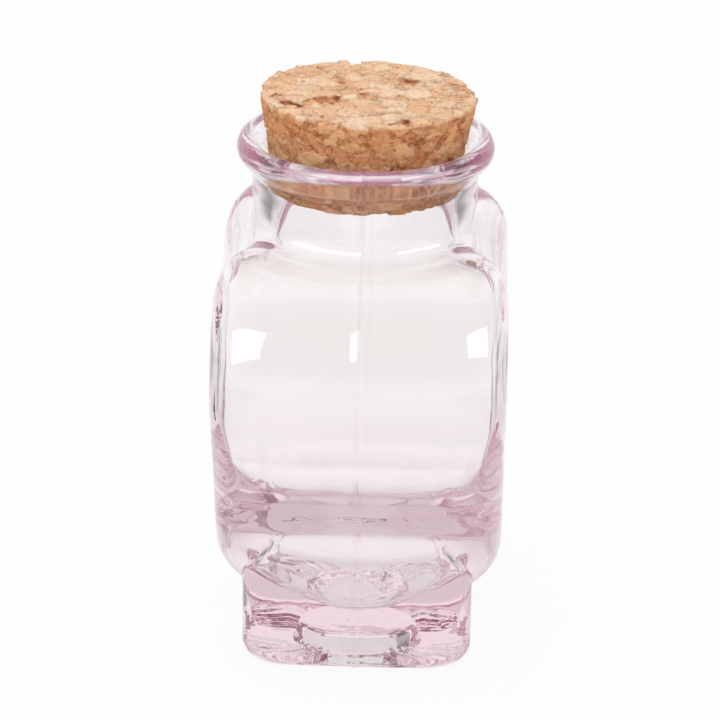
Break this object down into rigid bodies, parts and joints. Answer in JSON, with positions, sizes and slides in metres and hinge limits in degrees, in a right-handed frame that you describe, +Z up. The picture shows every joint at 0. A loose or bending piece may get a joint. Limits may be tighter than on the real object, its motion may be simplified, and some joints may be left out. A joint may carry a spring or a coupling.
{
  "type": "corked glass bottle",
  "caption": "Small heart-shaped bottle of pale pink moulded glass on a square foot, with a wide round neck closed by a tapered cork.",
  "frame": {"origin": "centre of the foot's underside, on the table", "axes": "+Z up along the neck, +X along the heart's width, +Y along its thickness"},
  "size_m": [0.071, 0.047, 0.0931],
  "materials": {
    "pink_glass": "clear, smooth moulded glass with a pale pink tint that deepens where it is thick",
    "cork": "matt agglomerated cork, coarse tan granules with dark flecks"
  },
  "bodies": {
    "bottle": {"glass_bottle": "pink_glass"},
    "cork": {"cork_stopper": "cork"}
  },
  "joints": [
    {"name": "cork_pull", "type": "slide", "parent": "bottle", "child": "cork", "axis": [0, 0, 1], "range_m": [0, 0.06]}
  ]
}
